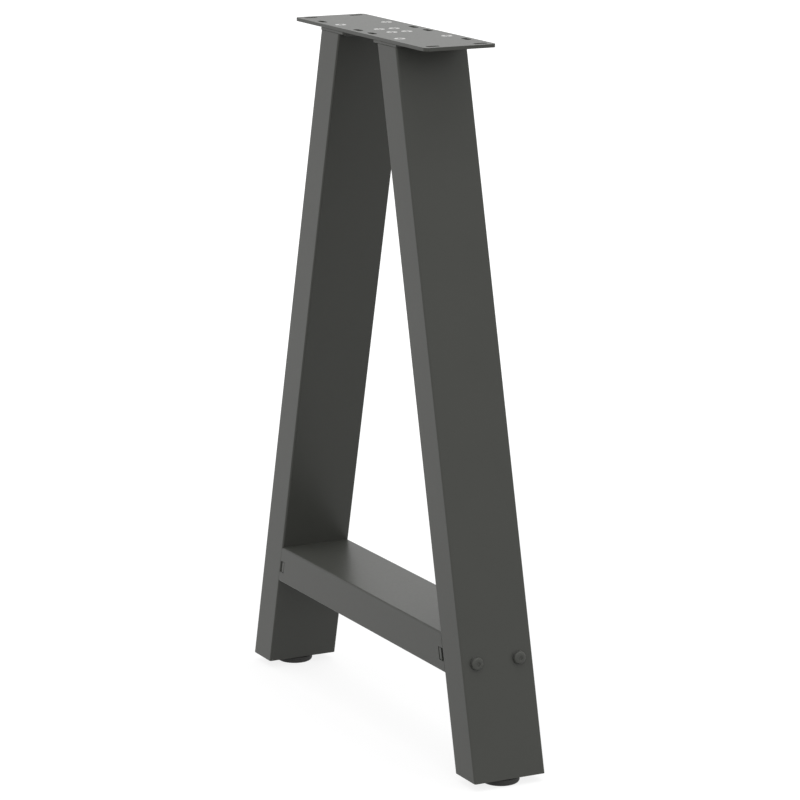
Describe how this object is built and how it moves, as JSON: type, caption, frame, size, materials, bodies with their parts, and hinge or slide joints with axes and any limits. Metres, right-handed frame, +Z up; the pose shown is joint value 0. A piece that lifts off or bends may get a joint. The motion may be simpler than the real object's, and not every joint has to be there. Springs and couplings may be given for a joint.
{
  "type": "trestle table leg",
  "caption": "A-frame table leg of rectangular steel tube with a slotted top plate, a bolted crossbar low down and round screw-out levelling feet.",
  "frame": {"origin": "on the floor, midway between the two feet", "axes": "+Z up; X along the spread of the A, across the two feet; Y along the tubes' wide faces"},
  "size_m": [0.515, 0.08, 0.728],
  "materials": {
    "powder_coat": "satin",
    "coated_bolt": "satin",
    "zinc_screw": "bright zinc",
    "plain_steel": "plain",
    "black_washer": "matt",
    "black_plastic": "matt"
  },
  "bodies": {
    "frame": {"top_plate": "powder_coat", "crossbar": "powder_coat", "right_leg_tube": "powder_coat", "right_leg_flange": "powder_coat", "right_nut_plate": "powder_coat", "right_bottom_plate": "powder_coat", "left_leg_tube": "powder_coat", "left_leg_flange": "powder_coat", "left_nut_plate": "powder_coat", "left_bottom_plate": "powder_coat", "right_near_crossbar_bolt": "coated_bolt", "right_far_crossbar_bolt": "coated_bolt", "left_near_crossbar_bolt": "coated_bolt", "left_far_crossbar_bolt": "coated_bolt", "right_outer_near_plate_screw": "zinc_screw", "right_outer_far_plate_screw": "zinc_screw", "right_inner_near_plate_screw": "zinc_screw", "right_inner_far_plate_screw": "zinc_screw", "left_outer_near_plate_screw": "zinc_screw", "left_outer_far_plate_screw": "zinc_screw", "left_inner_near_plate_screw": "zinc_screw", "left_inner_far_plate_screw": "zinc_screw", "right_near_taper_washer": "black_washer", "right_far_taper_washer": "black_washer", "left_near_taper_washer": "black_washer", "left_far_taper_washer": "black_washer", "right_weld_nut": "plain_steel", "left_weld_nut": "plain_steel"},
    "right_foot": {"right_foot_stud": "plain_steel", "right_foot_pad": "black_plastic"},
    "left_foot": {"left_foot_stud": "plain_steel", "left_foot_pad": "black_plastic"}
  },
  "joints": [
    {"name": "right_foot_out", "type": "slide", "parent": "frame", "child": "right_foot", "axis": [0, 0, -1], "range_m": [0, 0.01]},
    {"name": "left_foot_out", "type": "slide", "parent": "frame", "child": "left_foot", "axis": [0, 0, -1], "range_m": [0, 0.01]}
  ]
}
